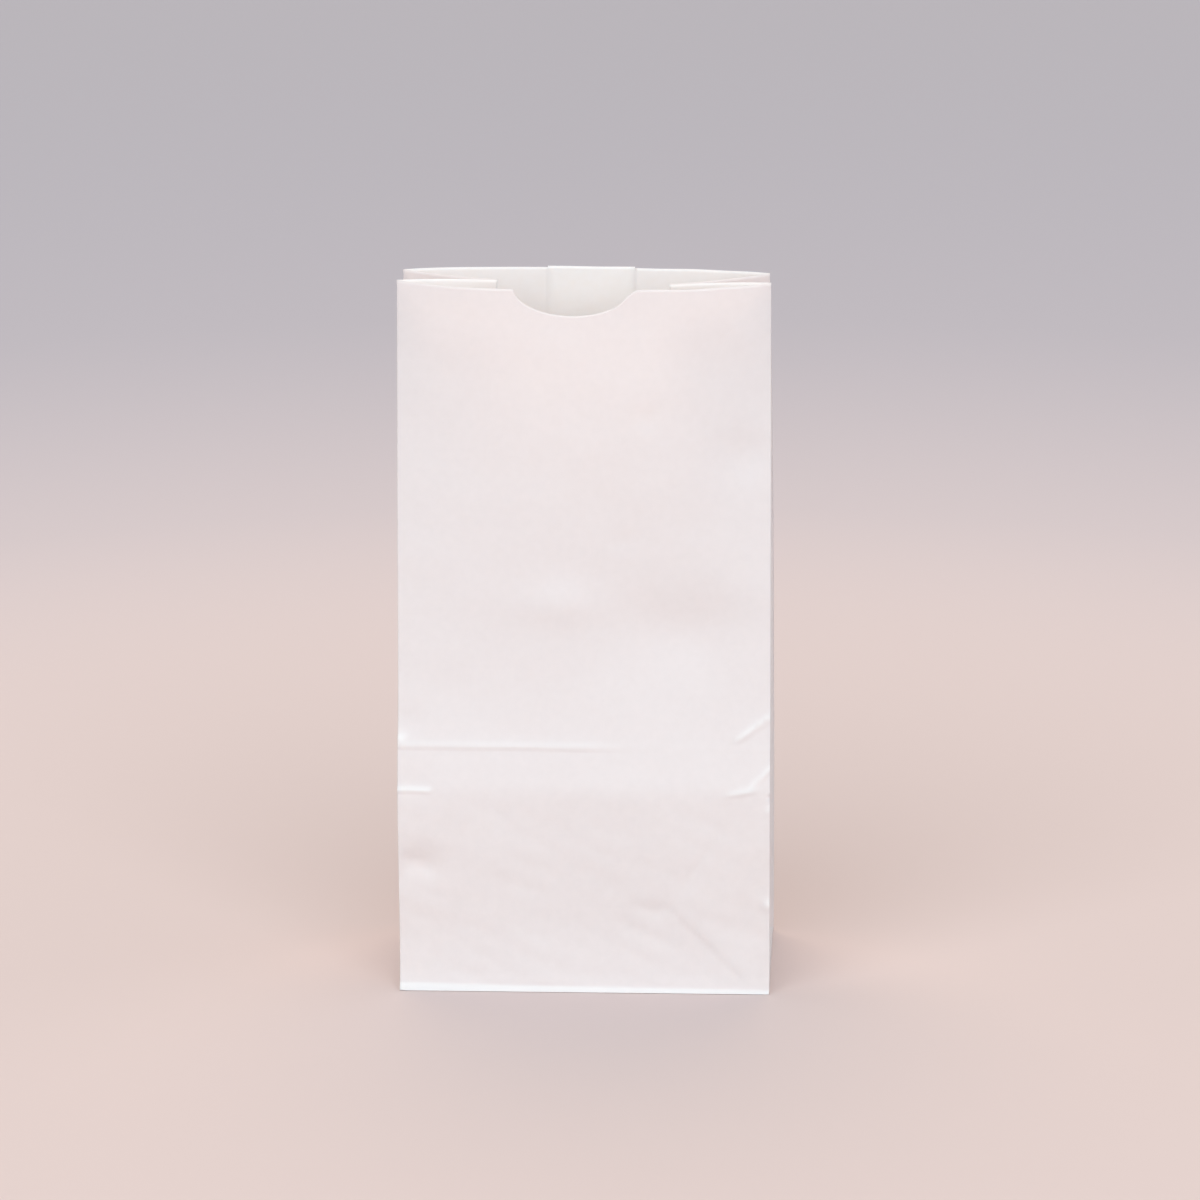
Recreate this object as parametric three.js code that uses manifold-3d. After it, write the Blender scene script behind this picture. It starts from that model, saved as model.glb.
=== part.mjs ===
// A flat-bottomed paper bakery bag with side gussets, standing with its mouth a little open.
// It is one folded and pasted sheet, so it is one solid of the paper's own thickness.
// Millimetres, +Z up. The origin is the middle of the bottom, and the front face looks along -Y.
import * as THREE from 'three';
import { mergeVertices } from 'three/addons/utils/BufferGeometryUtils.js';
import Module from 'manifold-3d';

const wasm = await Module();
wasm.setup();

// The folded sheet
const FACE_WIDTH = 108; // front and back panels, from fold to fold
const BOTTOM_DEPTH = 60; // the flat bottom, and each gusset laid flat
const WALL_HEIGHT = 207; // from the table to the mouth
const PAPER = 0.1; // one layer
const GUSSET_CROWN = 0.5; // half width of the rounded fold down the middle of a gusset

// The thumb notch in the front edge of the mouth
const NOTCH_WIDTH = 34;
const NOTCH_DEPTH = 7.8;
const NOTCH_SHIFT = -2.3; // left of the middle

// How far the mouth stands open, measured from the plane midway between front and back
const MOUTH_FRONT = 10.5; // both front corners
const MOUTH_BACK_LEFT = 8;
const MOUTH_BACK_RIGHT = 4.5;
const FRONT_BULGE = 10; // how far the front edge bows out past its corners
const BACK_BULGE = 6.5;
const FRONT_BULGE_FOOT = 112; // height at which each bulge begins, as a cone
const BACK_BULGE_FOOT = 92;
const BULGE_POWER = 4; // how square the bow is across the panel
const GUSSET_BELLY = 1.6; // how far the gusset halves bow at the mouth

// Creases across the front, left by the bottom when the bag was packed flat
const LOWER_CREASE = 60.5;
const UPPER_CREASE = 74;
const FOOT_LEAN = 0.018; // inward lean of the walls below the creases, per unit of height
const CREASE_LEAN = 0.2; // lean of the front between the two creases

// The pasted lap up the back, and the pasted flaps of the bottom
const SEAM_LEFT = -11.5; // cut edge that shows outside
const SEAM_RIGHT = 14; // cut edge that shows inside
const SEAM_RAMP = 2; // over which the under layer comes up to the face
const FLAP_LAP = 16; // how far the two bottom flaps overlap

// Facets
const PANEL_STEPS = 14;
const GUSSET_STEPS = 3; // in each half
const LEVEL_SPACING = 11;
const NOTCH_STEPS = 20;

const halfWidth = FACE_WIDTH / 2;
const halfDepth = BOTTOM_DEPTH / 2;
const floorLevel = 2 * PAPER; // two layers of flap lie under the floor of the bag

// Straight lines between [height, value] knots
function along(knots, z) {
  const upper = Math.max(1, knots.findIndex(([height]) => height >= z));
  const [z0, v0] = knots[upper - 1];
  const [z1, v1] = knots[upper];
  return THREE.MathUtils.mapLinear(z, z0, z1, v0, v1);
}

// How far a corner fold has moved inward from its place at the bottom
function frontTravel(z) {
  const atLower = LOWER_CREASE * FOOT_LEAN;
  const atUpper = atLower + (UPPER_CREASE - LOWER_CREASE) * CREASE_LEAN;
  return along([[0, 0], [LOWER_CREASE, atLower], [UPPER_CREASE, atUpper],
    [WALL_HEIGHT, halfDepth - MOUTH_FRONT]], z);
}

function backTravel(z, mouth) {
  return along([[0, 0], [LOWER_CREASE, LOWER_CREASE * FOOT_LEAN], [WALL_HEIGHT, halfDepth - mouth]], z);
}

// A panel's bulge is a cone that opens upward from a point on its middle line: zero outside the cone
function bulge(share, z, foot, size) {
  const open = (z - foot) / (WALL_HEIGHT - foot);
  if (open <= 0) return 0;
  const across = Math.min(1, Math.abs(share) / open);
  return size * open * (1 - across ** BULGE_POWER);
}

// A bowed panel of a fixed width draws its two corners together
function halfChord(z, foot, size) {
  const bow = bulge(0, z, foot, size);
  return halfWidth * (1 - (2 / 3) * (bow / halfWidth) ** 2);
}

function frontPoint(share, z) {
  const x = share * halfChord(z, FRONT_BULGE_FOOT, FRONT_BULGE);
  return new THREE.Vector2(x, frontTravel(z) - halfDepth - bulge(share, z, FRONT_BULGE_FOOT, FRONT_BULGE));
}

function backPoint(share, z) {
  const x = share * halfChord(z, BACK_BULGE_FOOT, BACK_BULGE);
  const mouth = THREE.MathUtils.mapLinear(share, -1, 1, MOUTH_BACK_LEFT, MOUTH_BACK_RIGHT);
  return new THREE.Vector2(x, halfDepth - backTravel(z, mouth) + bulge(share, z, BACK_BULGE_FOOT, BACK_BULGE));
}

// A gusset, from the front corner round its inward fold to the back corner. The two slanting creases of
// the foot rise at 45 degrees from the bottom corners and meet in the fold at half the bottom's depth.
// Each half keeps its real width, so the fold goes in as the two corners come together.
function gussetPoints(side, z) {
  const front = frontPoint(side, z);
  const back = backPoint(side, z);
  const slanting = Math.max(GUSSET_CROWN, Math.min(z, halfDepth - GUSSET_CROWN));
  const crown = halfDepth - slanting;
  const reach = Math.max(0, (back.y - front.y) / 2 - crown);
  const inward = Math.sqrt(Math.max(0, slanting ** 2 - reach ** 2));
  const middle = front.clone().add(back).multiplyScalar(0.5);
  const nearFold = new THREE.Vector2(middle.x - side * inward, middle.y - crown);
  const farFold = new THREE.Vector2(middle.x - side * inward, middle.y + crown);
  const belly = GUSSET_BELLY * Math.max(0, (z - halfDepth) / (WALL_HEIGHT - halfDepth));
  const points = [];
  for (let i = 1; i <= GUSSET_STEPS; i += 1) {
    const t = i / GUSSET_STEPS;
    const point = front.clone().lerp(nearFold, t);
    point.y += belly * Math.sin(Math.PI * t);
    points.push(point);
  }
  for (let i = 0; i < GUSSET_STEPS; i += 1) {
    const t = i / GUSSET_STEPS;
    const point = farFold.clone().lerp(back, t);
    point.y -= belly * Math.sin(Math.PI * t);
    points.push(point);
  }
  return points;
}

// One level of the bag's outline, anticlockwise from the front left corner. Each entry has its point and
// how many layers deep the outer and inner faces of the paper lie behind the outline there.
function outline(z) {
  const entries = [];
  const put = (point, outer = 0, inner = 1) => entries.push({ point, outer, inner });
  for (let i = 0; i <= PANEL_STEPS; i += 1) {
    put(frontPoint(THREE.MathUtils.mapLinear(i, 0, PANEL_STEPS, -1, 1), z));
  }
  gussetPoints(1, z).forEach((point) => put(point));
  const seamStart = SEAM_LEFT / halfWidth;
  const seamEnd = SEAM_RIGHT / halfWidth;
  const ramp = SEAM_RAMP / halfWidth;
  const edge = PAPER / 2 / halfWidth;
  const run = (from, to, steps, outer, inner) => {
    for (let i = 0; i < steps; i += 1) {
      put(backPoint(THREE.MathUtils.mapLinear(i, 0, steps, from, to), z), outer, inner);
    }
  };
  const sideSteps = Math.round(PANEL_STEPS / 3);
  run(1, seamEnd + edge, sideSteps, 0, 1);
  put(backPoint(seamEnd + edge, z), 0, 1);
  run(seamEnd - edge, seamStart + edge, sideSteps, 0, 2);
  put(backPoint(seamStart + edge, z), 0, 2);
  put(backPoint(seamStart - edge, z), 1, 2);
  run(seamStart - ramp, -1, sideSteps, 0, 1);
  put(backPoint(-1, z), 0, 1);
  gussetPoints(-1, z).reverse().forEach((point) => put(point));
  return entries;
}

// The outline moved inward by so many millimetres at each point, with mitred corners
function movedInward(entries, distanceOf) {
  return entries.map(({ point }, i) => {
    const last = entries[(i + entries.length - 1) % entries.length].point;
    const next = entries[(i + 1) % entries.length].point;
    const before = new THREE.Vector2(last.y - point.y, point.x - last.x).normalize();
    const after = new THREE.Vector2(point.y - next.y, next.x - point.x).normalize();
    const mitre = before.clone().add(after).divideScalar(1 + before.dot(after));
    return point.clone().addScaledVector(mitre, distanceOf(entries[i]));
  });
}

function ring(z, face, height) {
  const points = movedInward(outline(z), (entry) => entry[face] * PAPER);
  return points.map((p) => new THREE.Vector3(p.x, p.y, height));
}

// Heights of the rings: even steps, with one on each crease and one at the top of the foot creases
function levels() {
  const creases = [halfDepth, LOWER_CREASE, UPPER_CREASE, WALL_HEIGHT];
  const even = [];
  for (let z = LEVEL_SPACING; z < WALL_HEIGHT; z += LEVEL_SPACING) {
    if (creases.every((crease) => Math.abs(crease - z) > LEVEL_SPACING / 3)) even.push(z);
  }
  return [...even, ...creases].sort((a, b) => a - b);
}

// A closed mesh of the outer and inner rings, both listed upward from the floor. The two faces of the
// paper are split along the same diagonals, so they stay a paper's thickness apart. The cut edge of the
// mouth joins the last rings, and a fan to the middle closes each face at the floor.
function skin(outside, inside) {
  const count = outside[0].length;
  const middle = (points) => points.reduce((sum, p) => sum.add(p), new THREE.Vector3()).divideScalar(count);
  const points = [...outside.flat(), ...inside.flat(), middle(outside[0]), middle(inside[0])];
  const innerStart = outside.length * count;
  const rim = innerStart - count;
  const innerRim = 2 * innerStart - count;
  const outerMiddle = 2 * innerStart;
  const innerMiddle = outerMiddle + 1;
  const faces = [];
  for (let i = 0; i < count; i += 1) {
    const j = (i + 1) % count;
    for (let level = 0; level < rim; level += count) {
      const a = level + i;
      const b = level + j;
      faces.push(a, b, b + count, a, b + count, a + count);
      const c = a + innerStart;
      const d = b + innerStart;
      faces.push(c, d + count, d, c, c + count, d + count);
    }
    faces.push(rim + i, rim + j, innerRim + j, rim + i, innerRim + j, innerRim + i);
    faces.push(j, i, outerMiddle, innerStart + i, innerStart + j, innerMiddle);
  }
  const geometry = new THREE.BufferGeometry().setFromPoints(points);
  geometry.setIndex(faces);
  return geometry;
}

// A solid for cutting and joining, and back again
function toSolid(geometry) {
  const bare = geometry.clone();
  bare.deleteAttribute('normal');
  bare.deleteAttribute('uv');
  const merged = mergeVertices(bare, 1e-5);
  return new wasm.Manifold(new wasm.Mesh({
    numProp: 3,
    vertProperties: new Float32Array(merged.attributes.position.array),
    triVerts: new Uint32Array(merged.index.array),
  }));
}

function toGeometry(solid) {
  const mesh = solid.getMesh();
  const geometry = new THREE.BufferGeometry();
  geometry.setAttribute('position', new THREE.BufferAttribute(mesh.vertProperties, mesh.numProp));
  geometry.setIndex(new THREE.BufferAttribute(mesh.triVerts, 1));
  return geometry.toNonIndexed();
}

// The walls and floor
function walls() {
  const heights = levels();
  const outside = [ring(0, 'outer', floorLevel), ...heights.map((z) => ring(z, 'outer', z))];
  const inside = [ring(0, 'inner', floorLevel + PAPER), ...heights.map((z) => ring(z, 'inner', z))];
  return toSolid(skin(outside, inside));
}

// A die for the thumb notch, a half ellipse that passes through the front panel only
function notchDie() {
  const half = new THREE.Shape();
  half.absellipse(NOTCH_SHIFT, 0, NOTCH_WIDTH / 2, NOTCH_DEPTH, Math.PI, 2 * Math.PI);
  half.lineTo(NOTCH_SHIFT + NOTCH_WIDTH / 2, NOTCH_DEPTH);
  half.lineTo(NOTCH_SHIFT - NOTCH_WIDTH / 2, NOTCH_DEPTH);
  const geometry = new THREE.ExtrudeGeometry(half, {
    depth: BOTTOM_DEPTH, bevelEnabled: false, curveSegments: NOTCH_STEPS,
  });
  geometry.rotateX(Math.PI / 2);
  geometry.translate(0, 0, WALL_HEIGHT);
  return toSolid(geometry);
}

// Part of a bottom flap, between two distances from the middle line. Its ends are cut at 45 degrees,
// so it narrows away from its fold. The side is 1 for the back flap and -1 for the front one.
function flapPart(side, from, to, lowest, thickness) {
  const halfEnd = (y) => halfWidth - halfDepth + y;
  const shape = new THREE.Shape([
    new THREE.Vector2(-halfEnd(from), side * from),
    new THREE.Vector2(halfEnd(from), side * from),
    new THREE.Vector2(halfEnd(to), side * to),
    new THREE.Vector2(-halfEnd(to), side * to),
  ]);
  const geometry = new THREE.ExtrudeGeometry(shape, { depth: thickness, bevelEnabled: false });
  geometry.translate(0, 0, lowest);
  return toSolid(geometry);
}

// The front flap is pasted to the floor of the bag, and the back flap laps over it underneath
function bottomFlaps() {
  const fold = halfDepth - PAPER;
  const bond = PAPER / 2; // each layer is pasted into the one above it
  const front = flapPart(-1, -FLAP_LAP / 2, fold, PAPER, PAPER + bond);
  const back = flapPart(1, FLAP_LAP / 2 + PAPER, fold, PAPER, PAPER + bond);
  const lap = flapPart(1, -FLAP_LAP / 2, FLAP_LAP / 2 + 2 * PAPER, 0, PAPER + bond);
  return front.add(back).add(lap);
}

const white = new THREE.MeshStandardMaterial({ color: 0xf0e6e3, roughness: 0.7, metalness: 0 });

const bag = new THREE.Mesh(toGeometry(walls().subtract(notchDie()).add(bottomFlaps())), white);
bag.name = 'bag';

const group = new THREE.Group();
group.add(bag);

export default group;
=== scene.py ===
# A flat-bottomed white paper bag with side gussets and a thumb notch, standing with its mouth a
# little open on a pale seamless floor. The bag is one sheet, so it is one piece: a fine mesh of the
# folded sheet with the paper's own thickness and the creases of folding and packing.
# Lengths are millimetres up to the point where a mesh is made.
import math
from collections import namedtuple

import bpy
import numpy as np
from mathutils import Matrix, Vector


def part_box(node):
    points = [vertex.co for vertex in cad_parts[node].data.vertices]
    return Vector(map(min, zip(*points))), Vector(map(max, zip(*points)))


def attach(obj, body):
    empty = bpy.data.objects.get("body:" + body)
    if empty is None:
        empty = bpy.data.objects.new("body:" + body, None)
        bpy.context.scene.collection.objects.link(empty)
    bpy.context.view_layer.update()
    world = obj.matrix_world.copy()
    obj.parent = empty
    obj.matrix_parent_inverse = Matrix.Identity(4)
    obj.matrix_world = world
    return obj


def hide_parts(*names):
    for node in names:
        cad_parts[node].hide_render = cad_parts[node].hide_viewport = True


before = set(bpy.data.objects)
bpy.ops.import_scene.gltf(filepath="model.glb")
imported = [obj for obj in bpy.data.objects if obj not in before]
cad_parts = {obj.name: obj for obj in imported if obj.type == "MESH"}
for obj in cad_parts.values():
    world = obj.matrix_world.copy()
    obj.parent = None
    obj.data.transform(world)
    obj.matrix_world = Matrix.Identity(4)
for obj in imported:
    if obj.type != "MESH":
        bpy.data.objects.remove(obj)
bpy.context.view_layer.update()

MM = 0.001

# The folded sheet
bag_low, bag_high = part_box("bag")
HALF_WIDTH = (bag_high.x - bag_low.x) / 2 / MM
HALF_DEPTH = (bag_high.y - bag_low.y) / 2 / MM
WALL_HEIGHT = bag_high.z / MM
PAPER = 0.1
GUSSET_CROWN = 0.5  # half width of the rounded fold down the middle of a gusset
FOLD_RADIUS = 0.35
MOUTH_FOLD_RADIUS = 0.7  # the folds open out a little towards the mouth

# The thumb notch
NOTCH_CENTRE = -2.3
NOTCH_LEFT = 17.0  # half widths, left and right of its deepest point
NOTCH_RIGHT = 15.8
NOTCH_DEPTH = 7.8
NOTCH_WARP = 22.0  # height over which the rows close up above the notch
NOTCH_LEFT_BLEND = 0.35  # how far its shoulders are rounded over
NOTCH_RIGHT_BLEND = 2.2
NOTCH_BLEND_START = -5.0  # from the centre, where the left rounding starts to turn into the right one
NOTCH_BLEND_END = 8.0

# How far the mouth stands open, and the bow of each panel there
MOUTH_FRONT = 9.6
MOUTH_BACK_LEFT = 6.7
MOUTH_BACK_RIGHT = 3.4
FRONT_BULGE = 11.4
BACK_BULGE = 5.2
FRONT_BULGE_FOOT = 78.0  # height at which each bow begins
BACK_BULGE_FOOT = 70.0
BULGE_GROWTH = 1.7  # power of the height by which it grows
BOW_POWER = 2.0  # its section across the panel: a parabola where it begins
BOW_FLATTENING = 1.6  # added to that power at the mouth, where the middle is flatter
FOLD_FORWARD_LEFT = 6.5  # how far in front of the middle the gussets' inner folds lie at the mouth
FOLD_FORWARD_RIGHT = 9.5
CHORD_DRAW_FRONT = 0.05  # how much a bow draws its panel's corners together
CHORD_DRAW_BACK = 1.6
GUSSET_BELLY = 1.6

# The pressed fold along the foot, which leans out
LIP_LEFT = 1.9  # its height at the left and right ends
LIP_RIGHT = 1.05
LIP_SLOPE = 0.95
# A painted highlight whitens the fold along the foot
LIP_HIGHLIGHT = 0.9
LIP_HIGHLIGHT_REACH = 1.15  # how far up its painted highlight goes, as a share of its height
LIP_HIGHLIGHT_EDGE = 0.25

# Leans of the front and back panels, each from its height up to the next. The last runs to the mouth.
LOWER_CREASE = 60.5
STEP_FOOT = 71.6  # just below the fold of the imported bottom
UPPER_CREASE = 74.9
FRONT_LEANS = [(0, 0.06), (3, 0.2), (7, 0.08), (18, -0.04), (44, 0.02), (LOWER_CREASE, 0.28),
               (STEP_FOOT, 0.25), (UPPER_CREASE, 0.22), (88, None)]
BACK_LEANS = [(0, 0.1), (3, 0.0), (HALF_DEPTH, 0.05), (LOWER_CREASE, None)]
PAST_ENDS = 5.0  # how far each wall's line is carried on past the foot and the mouth

# How far each bend is rounded off: little at the creases and more in between
BEND_HEIGHTS = [3, 7, 56, 62, 69, 71, 77, 84]
BEND_RADII = [0.6, 4, 3, 2.2, 2.2, 0.6, 0.6, 6]
BLEND_SAMPLES = np.linspace(-1, 1, 9)  # shares of a radius over which a corner is averaged

# The pasted lap up the back, and the pasted flaps of the bottom
SEAM_LEFT = -11.5
SEAM_RIGHT = 14.0
SEAM_RAMP = 2.0
LAP_RISE = 0.4  # the two layers of the lap stand a little higher at the mouth
FLAP_LAP = 16.0
FLAP_INSET = 0.45  # from the bottom fold to the flaps
BOND = 0.005  # how far a flap reaches into the layer above it
FLOOR_LEVEL = 2 * PAPER

# The marks on the front panel. Places are (x, z) on it.
MARKS_FOOT = 3.0  # the marks fade in over this height
# A crease runs from start to end and stands out by height, with one spread above its crest and one below.
# It fades at its ends over fade, and its last field says how strongly a painted highlight whitens its upper
# flank just above the crest.
Crease = namedtuple("Crease", "start end height above below fade wear")
CREASES = [
    Crease((-57, 60.2), (-44.2, 60.1), 0.5, 1.2, 0.4, 0.4, 1.0),
    Crease((44.2, 75.0), (58, 85.0), 0.6, 1.7, 0.6, 1.0, 0.8),
    Crease((42, 59.8), (49.5, 61.2), 0.5, 1.8, 0.7, 1.5, 0.8),
    Crease((48, 61.3), (58, 71.5), 0.4, 1.4, 0.7, 1.2, 0.5),
]
HIGHLIGHT_RISE = 0.5  # a crease's painted highlight is brightest this far above its crest
HIGHLIGHT_ABOVE = 0.75
HIGHLIGHT_BELOW = 0.6

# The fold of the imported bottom, sharp on the left and fading to the right
PACKED_FOLD = 72.6
PACKED_FOLD_HEIGHT = 0.42
PACKED_FOLD_ABOVE = 2.2
PACKED_FOLD_BELOW = 0.4
PACKED_FOLD_BRIGHTEST = 73.5  # height of the line where its painted highlight is brightest
PACKED_FOLD_HIGHLIGHT = 0.35
PACKED_FOLD_HIGHLIGHT_SPREAD = 0.9
PACKED_FOLD_FADE = 6.0  # where it has half faded, and over what length
PACKED_FOLD_LEAST = 0.08

# A round spot of the front panel: positive depths press in and negative ones stand out
Spot = namedtuple("Spot", "place across along depth")
NICKS = [
    Spot((-53, 75.2), 1.8, 1.3, -0.6),
    Spot((53.4, 27.2), 1.3, 1.7, -0.6),
    Spot((53.6, 56.2), 1.2, 1.0, -0.3),
]
# How strongly a painted highlight whitens each nick's pressed facet
NICK_HIGHLIGHT = 0.9
CORNER_DENT = Spot((54, 59.3), 0.9, 0.8, 0.8)
DENTS = [
    Spot((-8, 114), 11, 5.5, -1.0),
    Spot((28, 105), 20, 12, 2.6),
    Spot((18, 169), 3, 2.4, 0.5),
    Spot((11, 133), 4, 3, 0.5),
    Spot((-48, 38), 6, 4.5, 1.6),
    Spot((-50, 62), 5, 4.5, 0.7),
    Spot((-51, 80), 5, 4.5, 0.8),
    Spot((22, 25), 6, 2.6, 0.6),
    Spot((47, 158), 7, 7, 0.9),
]

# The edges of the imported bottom's end, pressed into the panel from inside. Each is a step beside its
# line, on the upper side (1) or the lower (-1), as sharp as its edge, and dies away over its reach.
PressedEdge = namedtuple("PressedEdge", "start end fade height side edge reach")
PRESSED_EDGES = [
    PressedEdge((24.5, 26.5), (47.5, 3.5), 2.5, 0.55, 1, 0.55, 9),
    PressedEdge((21, 24.5), (31.5, 12.5), 2.0, 0.15, 1, 0.6, 5),
    PressedEdge((-46, 5), (-25, 26), 3.0, 0.14, -1, 0.7, 7),
]
GROOVE = Crease((25.5, 27.5), (39.0, 48.0), -0.2, 1.2, 1.8, 3.0, 0)

# A faint upright fold where the paper was doubled
UPRIGHT_FOLD = 4.5
UPRIGHT_FOLD_HEIGHT = 0.1
UPRIGHT_FOLD_SPREAD = 1.2
UPRIGHT_FOLD_LOW, UPRIGHT_FOLD_LOW_FADE = 82, 5
UPRIGHT_FOLD_HIGH, UPRIGHT_FOLD_HIGH_FADE = 165, 12

# The back panel's own creases: the foot of the gussets, the lower crease, and on both sides the lines
# that the folded gusset has pressed through, above the foot and in it
BACK_FOOT_CREASE = -0.12
BACK_FOOT_SPREAD = 0.6
BACK_LOWER_CREASE = 0.1
BACK_LOWER_ABOVE, BACK_LOWER_BELOW = 0.5, 2.0
BACK_LINES = [
    Crease((24.5, 28), (51, 57), 0.08, 1.0, 1.0, 3.0, 0),
    Crease((50, 3), (25, 28), -0.1, 1.0, 1.0, 3.0, 0),
]

# Heights of the paper's smooth unevenness
FRONT_BROAD, FRONT_SMALL, FRONT_CRUMPLE = 0.32, 0.09, 0.08
BACK_BROAD, BACK_SMALL = 0.18, 0.035
GUSSET_SMALL = 0.06
FRONT_EDGE, BACK_EDGE = 0.12, 0.1
BACK_BROAD_SHIFT, BACK_SMALL_SHIFT = 90, 40  # so that the back doesn't repeat the front's waves
GUSSET_WAVE_LENGTH, GUSSET_WAVE_SHIFT = 30, 70
BACK_EDGE_PLACE = 60
CRUMPLE_TOP = LOWER_CREASE - 4
CRUMPLE_FADE = 3

# The mesh
FOLD_ZONE = 2.0  # columns lie closer together this near to a side fold
GUSSET_COLUMNS = 11  # in each half
TRIANGLE_COLUMNS = 6  # across the flat triangle at a gusset's foot
TUCK_HEIGHTS = [PAPER, 0.17, 0.4]  # the lowest rows turn in under the panel by these amounts
TUCKS = [0.35, 0.12, 0]
INNER_TUCK = 1.4  # the inner skin turns in further, by this factor


def spaced(stops):
    """Values from the first stop to the last. Each stop is (place, spacing up to the next stop)."""
    runs = []
    for (start, step), (end, _) in zip(stops[:-1], stops[1:]):
        count = max(1, round((end - start) / step))
        runs.append(np.linspace(start, end, count, endpoint=False))
    return np.append(np.concatenate(runs), stops[-1][0])


def travel(leans, total):
    """A function of height: how far a wall has moved inward, with its creases rounded off."""
    heights = [height for height, _ in leans] + [WALL_HEIGHT]
    moved = [0.0]
    for (low, lean), high in zip(leans, heights[1:]):
        moved.append(total if lean is None else moved[-1] + lean * (high - low))
    last_lean = (moved[-1] - moved[-2]) / (heights[-1] - heights[-2])
    heights = [-PAST_ENDS] + heights + [WALL_HEIGHT + PAST_ENDS]
    moved = [-PAST_ENDS * leans[0][1]] + moved + [moved[-1] + PAST_ENDS * last_lean]

    def at(z):
        radius = np.interp(z, BEND_HEIGHTS, BEND_RADII)
        samples = [np.interp(z + share * radius, heights, moved) for share in BLEND_SAMPLES]
        return np.mean(samples, axis=0)

    return at


front_travel = travel(FRONT_LEANS, HALF_DEPTH - MOUTH_FRONT)
back_travel_left = travel(BACK_LEANS, HALF_DEPTH - MOUTH_BACK_LEFT)
back_travel_right = travel(BACK_LEANS, HALF_DEPTH - MOUTH_BACK_RIGHT)


def opening(z, foot):
    """From 0 at the foot and below it to 1 at the mouth."""
    return np.maximum((z - foot) / (WALL_HEIGHT - foot), 0)


def bulge(share, z, foot, size):
    """A bow that grows from nothing at its foot, round at first and flatter in the middle above."""
    opened = opening(z, foot)
    return size * opened**BULGE_GROWTH * (1 - np.abs(share) ** (BOW_POWER + BOW_FLATTENING * opened**3))


def half_chord(z, foot, size, draw):
    """Half the width between the two corners of a panel, which its bow draws together."""
    bow = size * opening(z, foot) ** BULGE_GROWTH
    return HALF_WIDTH * (1 - draw * (bow / HALF_WIDTH) ** 2)


def soft_step(d, width):
    """From 0 to 1 over about twice the width, centred on 0."""
    return 0.5 * (1 + np.tanh(d / width))


def ridge(d, upper, lower):
    """A ridge's section, from its crest at 0, with one spread above it and one below."""
    return np.where(d > 0, np.exp(-((d / upper) ** 2)), np.exp(-((d / lower) ** 2)))


def along_line(x, z, start, end, blend):
    """Distance above a line from start to end, and 1 beside it fading to 0 past its ends."""
    start, end = np.array(start, float), np.array(end, float)
    length = np.linalg.norm(end - start)
    ux, uz = (end - start) / length
    travelled = (x - start[0]) * ux + (z - start[1]) * uz
    above = (z - start[1]) * ux - (x - start[0]) * uz
    beside = soft_step(travelled, blend) * soft_step(length - travelled, blend)
    return above, beside


class Waves:
    """Smooth unevenness: a sum of waves of about one length, in directions and phases from one seed."""

    def __init__(self, seed, length, count=9):
        draws = np.random.default_rng(seed)
        self.angles = draws.uniform(0, math.pi, count)
        self.numbers = 2 * math.pi / (length * draws.uniform(0.7, 1.5, count))
        self.phases = draws.uniform(0, 2 * math.pi, count)

    def __call__(self, u, v):
        total = 0
        for angle, number, phase in zip(self.angles, self.numbers, self.phases):
            total = total + np.sin(number * (u * math.cos(angle) + v * math.sin(angle)) + phase)
        return total / math.sqrt(len(self.angles))


broad_waves = Waves(3, 60)
small_waves = Waves(5, 17)
crumple_waves = Waves(8, 7)


def lip_height(share):
    return LIP_LEFT + (LIP_RIGHT - LIP_LEFT) * (share + 1) / 2


def spot_shape(x, z, spot):
    """A round bump of height 1."""
    across = (x - spot.place[0]) / spot.across
    along = (z - spot.place[1]) / spot.along
    return np.exp(-(across**2) - (along**2))


def dent(x, z, spot):
    return -spot.depth * spot_shape(x, z, spot)


def crease_relief(x, z, crease):
    above, beside = along_line(x, z, crease.start, crease.end, crease.fade)
    return crease.height * beside * ridge(above, crease.above, crease.below)


# A painted highlight on a crease's upper flank, where it faces the light above
def crease_highlight(x, z, crease):
    above, beside = along_line(x, z, crease.start, crease.end, crease.fade)
    return crease.wear * beside * ridge(above - HIGHLIGHT_RISE, HIGHLIGHT_ABOVE, HIGHLIGHT_BELOW)


def pressed_edge(x, z, line):
    above, beside = along_line(x, z, line.start, line.end, line.fade)
    out = line.side * above
    return line.height * beside * soft_step(out, line.edge) * np.exp(-np.maximum(out, 0) / line.reach)


def front_creases(x, z):
    """The hard creases of the front panel: how far each stands out, and how strongly a painted highlight
    whitens it where it catches the light.
    """
    left = soft_step(PACKED_FOLD_FADE - x, PACKED_FOLD_FADE)
    fade = PACKED_FOLD_LEAST + (1 - PACKED_FOLD_LEAST) * left
    relief = PACKED_FOLD_HEIGHT * fade * ridge(z - PACKED_FOLD, PACKED_FOLD_ABOVE, PACKED_FOLD_BELOW)
    # A painted highlight along the fold's upper flank
    highlight_line = ridge(z - PACKED_FOLD_BRIGHTEST, PACKED_FOLD_HIGHLIGHT_SPREAD, PACKED_FOLD_HIGHLIGHT_SPREAD)
    wear = PACKED_FOLD_HIGHLIGHT * fade * highlight_line
    for crease in CREASES:
        relief = relief + crease_relief(x, z, crease)
        wear = wear + crease_highlight(x, z, crease)

    # Nicks at the side folds, each whitened by a painted highlight on its pressed facet
    for nick in NICKS:
        relief = relief + dent(x, z, nick)
        wear = wear + NICK_HIGHLIGHT * spot_shape(x, z, nick)
    relief = relief + dent(x, z, CORNER_DENT)

    # The pressed fold along the foot, whitened by a painted highlight where it leans out to the light
    highlight_top = LIP_HIGHLIGHT_REACH * lip_height(x / HALF_WIDTH)
    wear = wear + LIP_HIGHLIGHT * soft_step(highlight_top - z, LIP_HIGHLIGHT_EDGE)
    return relief, wear


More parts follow.
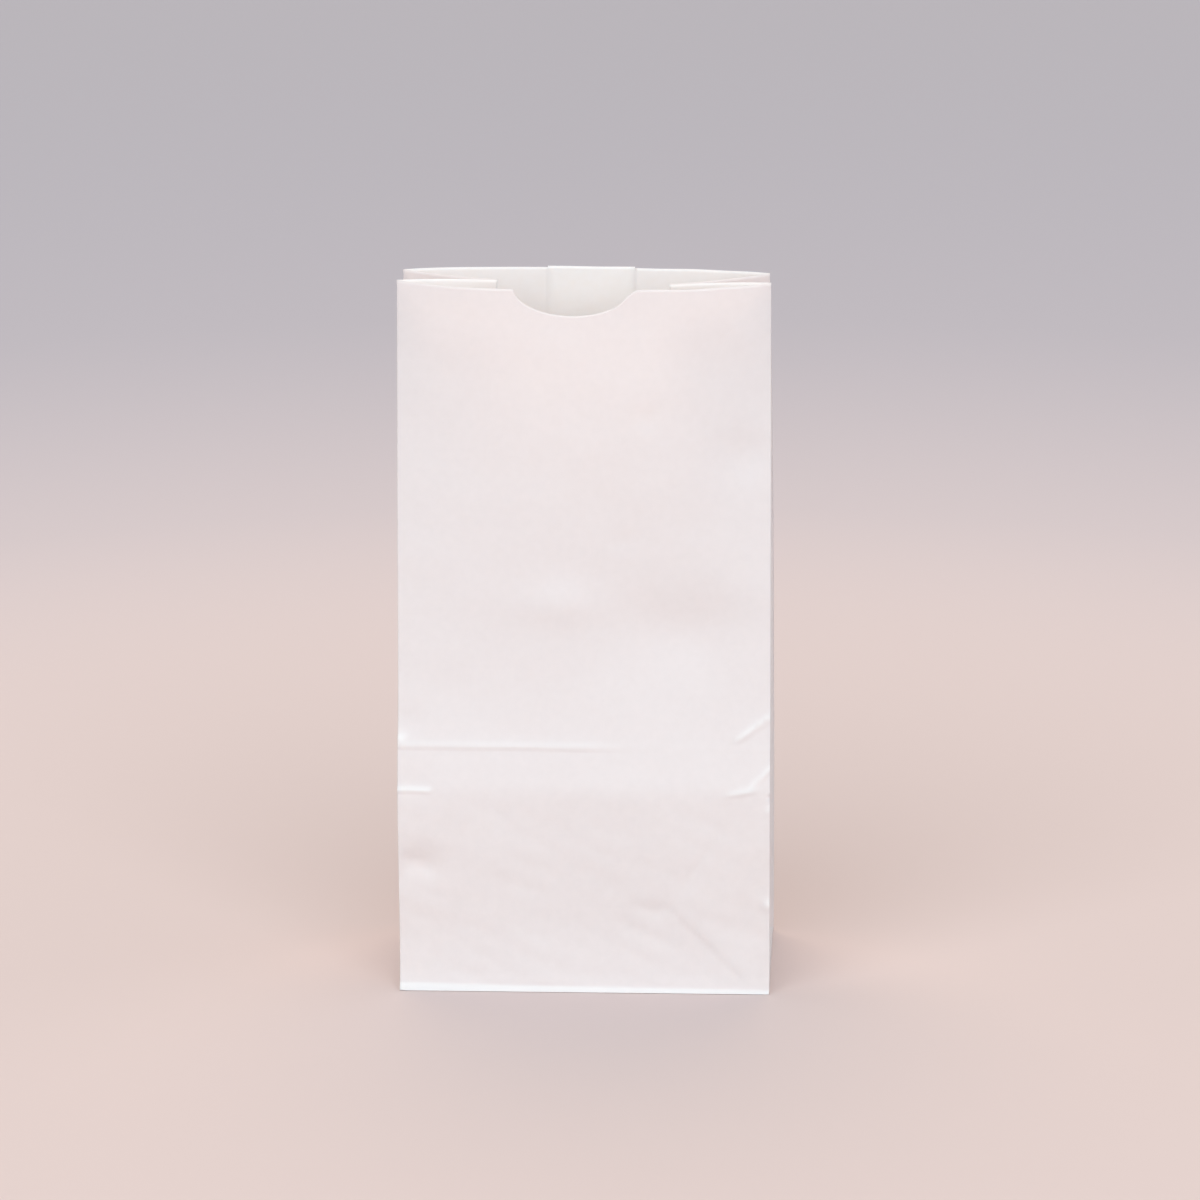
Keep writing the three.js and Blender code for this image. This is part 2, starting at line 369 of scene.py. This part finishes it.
def front_relief(x, z):
    """How far the front panel's marks stand outward."""
    lower = soft_step(CRUMPLE_TOP - z, CRUMPLE_FADE)
    relief = FRONT_BROAD * broad_waves(x, z) + FRONT_SMALL * small_waves(x, z)
    relief = relief + FRONT_CRUMPLE * lower * crumple_waves(x, z) + front_creases(x, z)[0]
    for line in PRESSED_EDGES:
        relief = relief + pressed_edge(x, z, line)
    relief = relief + crease_relief(x, z, GROOVE)
    for spot in DENTS:
        relief = relief + dent(x, z, spot)
    from_low = soft_step(z - UPRIGHT_FOLD_LOW, UPRIGHT_FOLD_LOW_FADE)
    to_high = soft_step(UPRIGHT_FOLD_HIGH - z, UPRIGHT_FOLD_HIGH_FADE)
    section = ridge(x - UPRIGHT_FOLD, UPRIGHT_FOLD_SPREAD, UPRIGHT_FOLD_SPREAD)
    return relief + UPRIGHT_FOLD_HEIGHT * section * from_low * to_high


def back_relief(x, z):
    """How far the back panel's marks stand outward."""
    relief = BACK_BROAD * broad_waves(x + BACK_BROAD_SHIFT, z)
    relief = relief + BACK_SMALL * small_waves(x + BACK_SMALL_SHIFT, z)
    relief = relief + BACK_FOOT_CREASE * ridge(z - HALF_DEPTH, BACK_FOOT_SPREAD, BACK_FOOT_SPREAD)
    relief = relief + BACK_LOWER_CREASE * ridge(z - LOWER_CREASE, BACK_LOWER_ABOVE, BACK_LOWER_BELOW)
    for side in (-1, 1):
        for line in BACK_LINES:
            relief = relief + crease_relief(x * side, z, line)
    return relief


def front_point(share, z):
    x = share * half_chord(z, FRONT_BULGE_FOOT, FRONT_BULGE, CHORD_DRAW_FRONT)
    y = front_travel(z) - HALF_DEPTH - bulge(share, z, FRONT_BULGE_FOOT, FRONT_BULGE)
    lip = lip_height(share)
    y = y + LIP_SLOPE * lip * np.tanh(z / lip)
    return np.stack([x, y - np.minimum(z / MARKS_FOOT, 1) * front_relief(x, z)], axis=-1)


def back_point(share, z):
    x = share * half_chord(z, BACK_BULGE_FOOT, BACK_BULGE, CHORD_DRAW_BACK)
    right = (share + 1) / 2
    moved = back_travel_left(z) * (1 - right) + back_travel_right(z) * right
    y = HALF_DEPTH - moved + bulge(share, z, BACK_BULGE_FOOT, BACK_BULGE)
    return np.stack([x, y + back_relief(x, z)], axis=-1)


def gusset_points(side, part, t, z):
    """Points of a gusset. Its parts are the front half, the flat triangle at the foot and the back half,
    and t runs from 0 to 1 over each. The slanting creases rise at 45 degrees and meet at half the depth."""
    front, back = front_point(side, z), back_point(side, z)
    slanting = np.clip(z, GUSSET_CROWN, HALF_DEPTH - GUSSET_CROWN)
    crown = HALF_DEPTH - slanting
    reach = np.maximum((back[..., 1] - front[..., 1]) / 2 - crown, 0)
    inward = np.sqrt(np.maximum(slanting**2 - reach**2, 0))
    fold = (front + back) / 2
    fold[..., 0] -= side * inward
    forward = FOLD_FORWARD_LEFT if side < 0 else FOLD_FORWARD_RIGHT
    fold[..., 1] -= forward * opening(z, FRONT_BULGE_FOOT) ** 2
    near, far = fold.copy(), fold.copy()
    near[..., 1] -= crown
    far[..., 1] += crown
    belly = GUSSET_BELLY * opening(z, HALF_DEPTH) * np.sin(math.pi * t)
    ends = {"front": (front, near, belly), "middle": (near, far, 0), "back": (far, back, -belly)}
    start, end, bow = ends[part]
    points = start + (end - start) * t[..., None]
    points[..., 1] += bow
    points[..., 0] += GUSSET_SMALL * small_waves(GUSSET_WAVE_LENGTH * t + GUSSET_WAVE_SHIFT * side, z)
    return points


def notch_depth(x):
    """Depth of the thumb notch below the mouth, with its shoulders rounded over."""
    def ellipse(place):
        half = np.where(place < NOTCH_CENTRE, NOTCH_LEFT, NOTCH_RIGHT)
        return NOTCH_DEPTH * np.sqrt(np.maximum(1 - ((place - NOTCH_CENTRE) / half) ** 2, 0))

    turn = [NOTCH_CENTRE + NOTCH_BLEND_START, NOTCH_CENTRE + NOTCH_BLEND_END]
    blend = np.interp(x, turn, [NOTCH_LEFT_BLEND, NOTCH_RIGHT_BLEND])
    return np.mean([ellipse(x + share * blend) for share in BLEND_SAMPLES], axis=0)


def near_folds(count):
    """Shares from 0 to 1, closer together near both ends."""
    return 0.5 - 0.5 * np.cos(np.linspace(0, math.pi, count + 1))


# Columns of the front and back panels, closest together at the folds, the notch's shoulders and the
# lap's edges, and the heights of the rows, closest together at the foot, the creases and the mouth
notch_left = NOTCH_CENTRE - NOTCH_LEFT
notch_right = NOTCH_CENTRE + NOTCH_RIGHT
front_x = spaced([
    (-HALF_WIDTH, 0.35), (-HALF_WIDTH + FOLD_ZONE, 0.9), (-42, 1.5),
    (notch_left - 0.7, 0.14), (notch_left + 0.7, 0.5), (notch_left + 3, 1.4),
    (notch_right - 4, 0.45), (notch_right + 2.6, 1.1), (HALF_WIDTH - FOLD_ZONE, 0.35),
    (HALF_WIDTH, 0),
])
edge = PAPER / 2
back_x = spaced([
    (-HALF_WIDTH, 0.4), (-HALF_WIDTH + FOLD_ZONE, 2.6), (SEAM_LEFT - SEAM_RAMP, 1.0),
    (SEAM_LEFT - edge, 1.0), (SEAM_LEFT + edge, 2.5), (SEAM_RIGHT - edge, 1.0),
    (SEAM_RIGHT + edge, 1.0), (SEAM_RIGHT + SEAM_RAMP, 2.6), (HALF_WIDTH - FOLD_ZONE, 0.4),
    (HALF_WIDTH, 0),
])[::-1]

heights = spaced([
    (PAPER, 0.1), (0.4, 0.4), (3.2, 0.95), (32, 1.3), (57, 0.6), (79, 1.5), (130, 2.0),
    (WALL_HEIGHT - 12, 0.85), (WALL_HEIGHT, 0),
])


def fitted(z, top):
    """Heights of a column that is cut off at top: its upper rows close up or open out."""
    foot = WALL_HEIGHT - NOTCH_WARP
    return np.where(z > foot, foot + (z - foot) * (top - foot) / NOTCH_WARP, z)


def build_columns():
    """Every column's points, heights, paper layers and painted highlight, anticlockwise from the front left
    fold.

    The layers say how far inward of the outline the outer and inner skins lie, in sheets of paper."""
    z = heights[:, None]
    points, levels, outer, inner, highlighted = [], [], [], [], []

    def put(block, at, outer_layers, inner_layers, wear=0.0):
        points.append(block)
        highlighted.append(np.broadcast_to(wear, block.shape[:2]))
        levels.append(np.broadcast_to(at, block.shape[:2]))
        outer.append(outer_layers)
        inner.append(inner_layers)

    def put_front():
        wave = FRONT_EDGE * small_waves(front_x, 0)
        at = fitted(z, WALL_HEIGHT + wave - notch_depth(front_x))
        wear = front_creases(front_x + 0 * at, at)[1]
        put(front_point(front_x / HALF_WIDTH, at), at, 0 * front_x, 0 * front_x + 1, wear)

    def put_gusset(side):
        parts = [
            ("front", near_folds(GUSSET_COLUMNS)[1:]),
            ("middle", near_folds(TRIANGLE_COLUMNS)[1:-1]),
            ("back", near_folds(GUSSET_COLUMNS)[:-1]),
        ]
        blocks = [gusset_points(side, part, t + 0 * z, z + 0 * t) for part, t in parts]
        gusset = np.concatenate(blocks, axis=1)
        if side == -1:
            gusset = gusset[:, ::-1]
        layers = np.zeros(gusset.shape[1])
        put(gusset, z, layers, layers + 1)

    def put_back():
        in_lap = (back_x > SEAM_LEFT) & (back_x < SEAM_RIGHT)
        wave = BACK_EDGE * small_waves(back_x, BACK_EDGE_PLACE)
        at = fitted(z, WALL_HEIGHT + wave + LAP_RISE * in_lap)
        ramp = [SEAM_LEFT - SEAM_RAMP, SEAM_LEFT - edge]
        under = np.interp(back_x, ramp + [SEAM_LEFT + edge], [0, 1, 0])
        behind = np.interp(back_x, ramp + [SEAM_RIGHT - edge, SEAM_RIGHT + edge], [1, 2, 2, 1])
        put(back_point(back_x / HALF_WIDTH, at), at, under, behind)

    put_front()
    put_gusset(1)
    put_back()
    put_gusset(-1)
    return (np.concatenate(points, axis=1), np.concatenate(levels, axis=1),
            np.concatenate(outer), np.concatenate(inner), np.concatenate(highlighted, axis=1))


def rounded(points, radius):
    """Each row's closed outline with its folds rounded off, by averaging along the outline."""
    result = np.empty_like(points)
    for row, (outline, spread) in enumerate(zip(points, radius)):
        step = np.linalg.norm(np.roll(outline, -1, axis=0) - outline, axis=1)
        place = np.concatenate([[0], np.cumsum(step)[:-1]])
        total = step.sum()
        weight = (step + np.roll(step, 1)) / 2
        apart = np.abs(place[:, None] - place[None, :])
        apart = np.minimum(apart, total - apart)
        share = np.exp(-((apart / spread) ** 2)) * weight[None, :]
        result[row] = share @ outline / share.sum(axis=1, keepdims=True)
    return result


def moved_inward(points, distance):
    """Each row's closed outline moved inward by so many millimetres."""
    ahead = np.roll(points, -1, axis=1) - np.roll(points, 1, axis=1)
    normal = np.stack([-ahead[..., 1], ahead[..., 0]], axis=-1)
    normal /= np.linalg.norm(normal, axis=-1, keepdims=True)
    return points + normal * distance[..., None]


def sheet_mesh():
    """The walls and the floor: two skins a paper's thickness apart, joined round the mouth."""
    points, levels, outer_layers, inner_layers, highlighted = build_columns()
    radii = [FOLD_RADIUS, MOUTH_FOLD_RADIUS]
    points = rounded(points, np.interp(heights, [FRONT_BULGE_FOOT, WALL_HEIGHT], radii))
    rows, columns = levels.shape

    # The bottom fold is rounded too: the lowest rows turn in under the panel
    tuck = np.interp(heights, TUCK_HEIGHTS, TUCKS)[:, None]
    outside = moved_inward(points, outer_layers[None, :] * PAPER + tuck)
    inside = moved_inward(points, inner_layers[None, :] * PAPER + INNER_TUCK * tuck)
    inside_levels = np.maximum(levels, FLOOR_LEVEL + PAPER)
    skins = np.concatenate([
        np.concatenate([outside, levels[..., None]], axis=-1).reshape(-1, 3),
        np.concatenate([inside, inside_levels[..., None]], axis=-1).reshape(-1, 3),
        [[0, 0, FLOOR_LEVEL], [0, 0, FLOOR_LEVEL + PAPER]],
    ])
    size = rows * columns
    column = np.arange(columns)
    following = (column + 1) % columns
    faces = []
    for row in range(rows - 1):
        a, b = row * columns + column, row * columns + following
        faces += np.stack([a, b, b + columns, a + columns], axis=1).tolist()
        faces += np.stack([a + size, a + size + columns, b + size + columns, b + size], axis=1).tolist()
    # The cut edge round the mouth, and a fan from each middle point over the floor
    a, b = (rows - 1) * columns + column, (rows - 1) * columns + following
    faces += np.stack([a, b, b + size, a + size], axis=1).tolist()
    middle = np.full(columns, 2 * size)
    faces += np.stack([following, column, middle], axis=1).tolist()
    faces += np.stack([column + size, following + size, middle + 1], axis=1).tolist()
    # Only the outer skin carries the painted highlight
    wear = np.zeros(len(skins))
    wear[:size] = np.clip(highlighted, 0, 1).ravel()
    is_inside = np.zeros(len(skins), bool)
    is_inside[size:2 * size] = True
    is_inside[2 * size + 1] = True
    return skins, faces, wear, is_inside


def flap_mesh(side, near, far, lowest, thickness):
    """A plate of one paper layer under the floor, with its ends cut at 45 degrees."""
    corners = []
    for y in (near, far):
        half = HALF_WIDTH - HALF_DEPTH + y
        corners += [(-half, side * y), (half, side * y)]
    order = [0, 1, 3, 2] if side < 0 else [0, 2, 3, 1]
    ring = [corners[i] for i in order]
    points = [(x, y, z) for z in (lowest, lowest + thickness) for x, y in ring]
    sides = [(i, (i + 1) % 4, (i + 1) % 4 + 4, i + 4) for i in range(4)]
    faces = [(3, 2, 1, 0), (4, 5, 6, 7)] + sides
    if side < 0:
        faces = [tuple(reversed(face)) for face in faces]
    return points, faces


def build_bag():
    points, faces, wear, is_inside = sheet_mesh()
    fold = HALF_DEPTH - FLAP_INSET
    layer = PAPER + BOND
    # The front flap, and the back one, which steps down where it passes under the front one
    flaps = [
        flap_mesh(-1, -FLAP_LAP / 2, fold, PAPER, layer),
        flap_mesh(1, FLAP_LAP / 2 + PAPER, fold, PAPER, layer),
        flap_mesh(1, -FLAP_LAP / 2, FLAP_LAP / 2 + 2 * PAPER, 0, layer),
    ]
    for flap_points, flap_faces in flaps:
        start = len(points)
        points = np.concatenate([points, flap_points])
        faces += [[start + i for i in face] for face in flap_faces]
    mesh = bpy.data.meshes.new("paper_bag")
    mesh.from_pydata((points * MM).tolist(), [], faces)
    mesh.validate()
    mesh.polygons.foreach_set("use_smooth", [len(face) == 4 for face in faces])
    flap_corners = len(points) - len(wear)
    wear = np.append(wear, np.zeros(flap_corners))
    is_inside = np.append(is_inside, np.zeros(flap_corners, bool))
    # Faces of the inside skin take the second material, which is painted whiter as painted light.
    mesh.polygons.foreach_set("material_index", [int(all(is_inside[list(face)])) for face in faces])
    # The painted highlight is stored on the points for the material
    mesh.attributes.new("wear", "FLOAT", "POINT").data.foreach_set("value", wear)
    mesh.update()
    bag = bpy.data.objects.new("paper_bag", mesh)
    bpy.context.collection.objects.link(bag)
    return bag


# Materials, with colours written as in a picture
Paper = namedtuple("Paper", "name dull bright translucency")
OUTSIDE = Paper("white_paper", (241, 229, 226), (243, 231, 228), 0.4)
# Painted light: the inside skin is a whiter copy of the same paper, standing in for light that comes
# through the sheet and in at the mouth.
INSIDE_WITH_PAINTED_LIGHT = Paper("white_paper_inside_painted_light", (254, 245, 241), (255, 247, 244), 0.6)
# The white of the painted highlights on the creases, the nicks and the foot's fold
PAINTED_HIGHLIGHT_WHITE = (254, 248, 245)
SCATTER_LENGTH = 0.0004  # metres that light travels in the paper
SCATTER_COLOUR = (1.0, 0.9, 0.85)
SHEEN = 0.4
LEAST_ROUGHNESS, MOST_ROUGHNESS = 0.46, 0.6
CLOUD_SCALE, FIBRE_SCALE = 420.0, 3600.0
FIBRE_STRETCH = (1.0, 1.0, 0.28)  # the fibres lie upright
CLOUD_DEPTH, FIBRE_DEPTH = 0.00006, 0.00003
DULL_STOP, BRIGHT_STOP = 0.3, 0.7


class Nodes:
    """A short way to add and link shader nodes."""

    def __init__(self, tree):
        self.tree = tree
        tree.nodes.clear()

    def add(self, kind, settings=None, **inputs):
        node = self.tree.nodes.new(kind)
        for name, value in (settings or {}).items():
            setattr(node, name, value)
        for name, value in inputs.items():
            self.set(node, name.replace("_", " "), value)
        return node

    def set(self, node, name, value):
        socket = node.inputs[int(name)] if name.isdigit() else node.inputs[name]
        if isinstance(value, bpy.types.NodeSocket):
            self.tree.links.new(value, socket)
        else:
            socket.default_value = value


def srgb(red, green, blue):
    """A colour written as in a picture, from 0 to 255, as the linear values that shaders take."""
    def linear(c):
        c /= 255
        return c / 12.92 if c <= 0.04045 else ((c + 0.055) / 1.055) ** 2.4
    return (linear(red), linear(green), linear(blue), 1.0)


def paper_material(paper):
    """White machine-made paper: faint clouds and fibres, a low sheen, light passing through, and painted
    highlights mixed in towards white from the mesh's attribute.
    """
    material = bpy.data.materials.new(paper.name)
    material.use_nodes = True
    nodes = Nodes(material.node_tree)
    place = nodes.add("ShaderNodeTexCoord").outputs["Object"]
    fibre_place = nodes.add("ShaderNodeMapping", Vector=place, Scale=FIBRE_STRETCH).outputs[0]
    cloud_noise = nodes.add("ShaderNodeTexNoise", Vector=place, Scale=CLOUD_SCALE, Detail=3.0)
    fibre_noise = nodes.add("ShaderNodeTexNoise", Vector=fibre_place, Scale=FIBRE_SCALE, Detail=4.0)
    clouds = cloud_noise.outputs["Fac"]
    fibres = fibre_noise.outputs["Fac"]
    cloud_colour = nodes.add("ShaderNodeValToRGB", Fac=clouds)
    dull, bright = cloud_colour.color_ramp.elements
    dull.position = DULL_STOP
    dull.color = srgb(*paper.dull)
    bright.position = BRIGHT_STOP
    bright.color = srgb(*paper.bright)
    # Painted highlight: the base colour is mixed towards white by the attribute
    wear = nodes.add("ShaderNodeAttribute", {"attribute_name": "wear"}).outputs["Fac"]
    highlighted = nodes.add("ShaderNodeMix", {"data_type": "RGBA"}, Factor=wear)
    nodes.set(highlighted, "6", cloud_colour.outputs[0])
    nodes.set(highlighted, "7", srgb(*PAINTED_HIGHLIGHT_WHITE))
    roughness = nodes.add("ShaderNodeMapRange", Value=clouds, To_Min=LEAST_ROUGHNESS, To_Max=MOST_ROUGHNESS)
    grain = nodes.add("ShaderNodeBump", Strength=0.25, Distance=FIBRE_DEPTH, Height=fibres)
    formation = nodes.add("ShaderNodeBump", Strength=0.3, Distance=CLOUD_DEPTH, Height=clouds,
                          Normal=grain.outputs[0])
    shader = nodes.add("ShaderNodeBsdfPrincipled", Roughness=roughness.outputs[0],
                       Normal=formation.outputs[0])
    nodes.set(shader, "Base Color", highlighted.outputs[2])
    nodes.set(shader, "Subsurface Weight", paper.translucency)
    nodes.set(shader, "Subsurface Radius", SCATTER_COLOUR)
    nodes.set(shader, "Subsurface Scale", SCATTER_LENGTH)
    nodes.set(shader, "Specular IOR Level", SHEEN)
    nodes.add("ShaderNodeOutputMaterial", Surface=shader.outputs[0])
    return material


# The floor and the backdrop, in one piece
FLOOR_RADIUS = 12  # metres
FLOOR_CORNERS = 96
FAR_FLOOR = srgb(176, 172, 178)
BACKDROP_REACH = 1.66  # metres from the bag at which the floor has its far colour
# Each stop is (share of that reach, colour)
# The stops paint a pool of warm light round the bag that falls off to cooler grey, and the first stop is
# painted shade close round the bag.
FLOOR_COLOUR_AND_PAINTED_LIGHT = [(0.1, (217, 202, 199)), (0.22, (222, 206, 203)), (0.325, (210, 199, 201)),
            (0.525, (181, 178, 186)), (1.0, (179, 176, 182))]


def floor_material():
    """A seamless floor of its own pinkish colour, painted as a pool of warm light beside the bag that falls
    off to a cooler grey far away, and a little darker as painted shade closest to the bag.
    """
    material = bpy.data.materials.new("seamless_floor_painted_light")
    material.use_nodes = True
    nodes = Nodes(material.node_tree)
    place = nodes.add("ShaderNodeTexCoord").outputs["Object"]
    distance = nodes.add("ShaderNodeVectorMath", {"operation": "LENGTH"}, **{"0": place}).outputs["Value"]
    share = nodes.add("ShaderNodeMapRange", Value=distance, From_Max=BACKDROP_REACH).outputs[0]
    colour = nodes.add("ShaderNodeValToRGB", Fac=share)
    ramp = colour.color_ramp
    ramp.interpolation = "B_SPLINE"
    for stop, _ in FLOOR_COLOUR_AND_PAINTED_LIGHT[1:-1]:
        ramp.elements.new(stop)
    for element, (stop, shade) in zip(ramp.elements, FLOOR_COLOUR_AND_PAINTED_LIGHT):
        element.position = stop
        element.color = srgb(*shade)
    shader = nodes.add("ShaderNodeBsdfDiffuse", Color=colour.outputs[0])
    nodes.add("ShaderNodeOutputMaterial", Surface=shader.outputs[0])
    return material


def add_floor():
    bpy.ops.mesh.primitive_circle_add(vertices=FLOOR_CORNERS, radius=FLOOR_RADIUS, fill_type="NGON")
    floor = bpy.context.object
    floor.name = "floor"
    floor.data.materials.append(floor_material())


WORLD_LIGHT = (0.56, 0.8, 1.0, 1.0)
WORLD_STRENGTH = 0.3


def add_world():
    """A bluish fill light that is seen directly as the far floor's colour."""
    world = bpy.data.worlds.new("studio")
    bpy.context.scene.world = world
    world.use_nodes = True
    nodes = Nodes(world.node_tree)
    light = nodes.add("ShaderNodeBackground", Color=WORLD_LIGHT, Strength=WORLD_STRENGTH)
    seen = nodes.add("ShaderNodeBackground", Color=FAR_FLOOR, Strength=1.0)
    rays = nodes.add("ShaderNodeLightPath")
    direct = nodes.add("ShaderNodeMath", {"operation": "MAXIMUM"},
                       **{"0": rays.outputs["Is Camera Ray"], "1": rays.outputs["Is Glossy Ray"]})
    choice = nodes.add("ShaderNodeMath", {"operation": "MAXIMUM"},
                       **{"0": direct.outputs[0], "1": rays.outputs["Is Transmission Ray"]})
    mix = nodes.add("ShaderNodeMixShader",
                    **{"0": choice.outputs[0], "1": light.outputs[0], "2": seen.outputs[0]})
    nodes.add("ShaderNodeOutputWorld", Surface=mix.outputs[0])


LAMP_DISTANCE = 2.0  # metres from the bag. A sun's distance doesn't change its light.


def add_sun(name, azimuth, elevation, strength, softness, colour):
    """A wide soft light. Azimuth 0 is in front of the bag and 90 to its right."""
    lamp = bpy.data.lights.new(name, "SUN")
    lamp.energy = strength
    lamp.angle = math.radians(softness)
    lamp.color = colour
    light = bpy.data.objects.new(name, lamp)
    bpy.context.collection.objects.link(light)
    turn, rise = math.radians(azimuth), math.radians(elevation)
    towards = Vector((math.sin(turn) * math.cos(rise), -math.cos(turn) * math.cos(rise), math.sin(rise)))
    light.rotation_mode = "QUATERNION"
    light.rotation_quaternion = towards.to_track_quat("Z", "Y")
    light.location = towards * LAMP_DISTANCE


# The photograph's viewpoint, found from the bag's corners, in metres and degrees
CAMERA_PLACE = (0.0890, -1.6356, 0.5591)
CAMERA_PAN = -2.985
CAMERA_TILT = 15.318
CAMERA_ROLL = -0.310
FOCAL_PIXELS = 5838
IMAGE_PIXELS = 1200
SENSOR_WIDTH = 36


def add_camera():
    camera = bpy.data.objects.new("camera", bpy.data.cameras.new("camera"))
    bpy.context.collection.objects.link(camera)
    pan, tilt, roll = (math.radians(a) for a in (CAMERA_PAN, CAMERA_TILT, CAMERA_ROLL))
    forward = Vector((math.sin(pan) * math.cos(tilt), math.cos(pan) * math.cos(tilt), -math.sin(tilt)))
    level = Vector((math.cos(pan), -math.sin(pan), 0))
    upright = level.cross(forward)
    right = level * math.cos(roll) + upright * math.sin(roll)
    up = upright * math.cos(roll) - level * math.sin(roll)
    turn = Matrix((right, up, -forward)).transposed()
    camera.matrix_world = Matrix.Translation(CAMERA_PLACE) @ turn.to_4x4()
    camera.data.sensor_width = SENSOR_WIDTH
    camera.data.lens = FOCAL_PIXELS / IMAGE_PIXELS * SENSOR_WIDTH
    bpy.context.scene.camera = camera


add_camera()
bag = build_bag()
bag.data.materials.append(paper_material(OUTSIDE))
bag.data.materials.append(paper_material(INSIDE_WITH_PAINTED_LIGHT))
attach(bag, "root")
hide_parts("bag")

add_floor()
add_world()
add_sun("key", azimuth=-6, elevation=36, strength=2.3, softness=80, colour=(0.98, 0.995, 0.995))
add_sun("right_fill", azimuth=70, elevation=25, strength=0.52, softness=80, colour=(0.95, 0.97, 1.0))
add_sun("top_back", azimuth=188, elevation=62, strength=1.62, softness=50, colour=(0.95, 0.73, 0.55))

bpy.context.scene.view_settings.view_transform = "Standard"
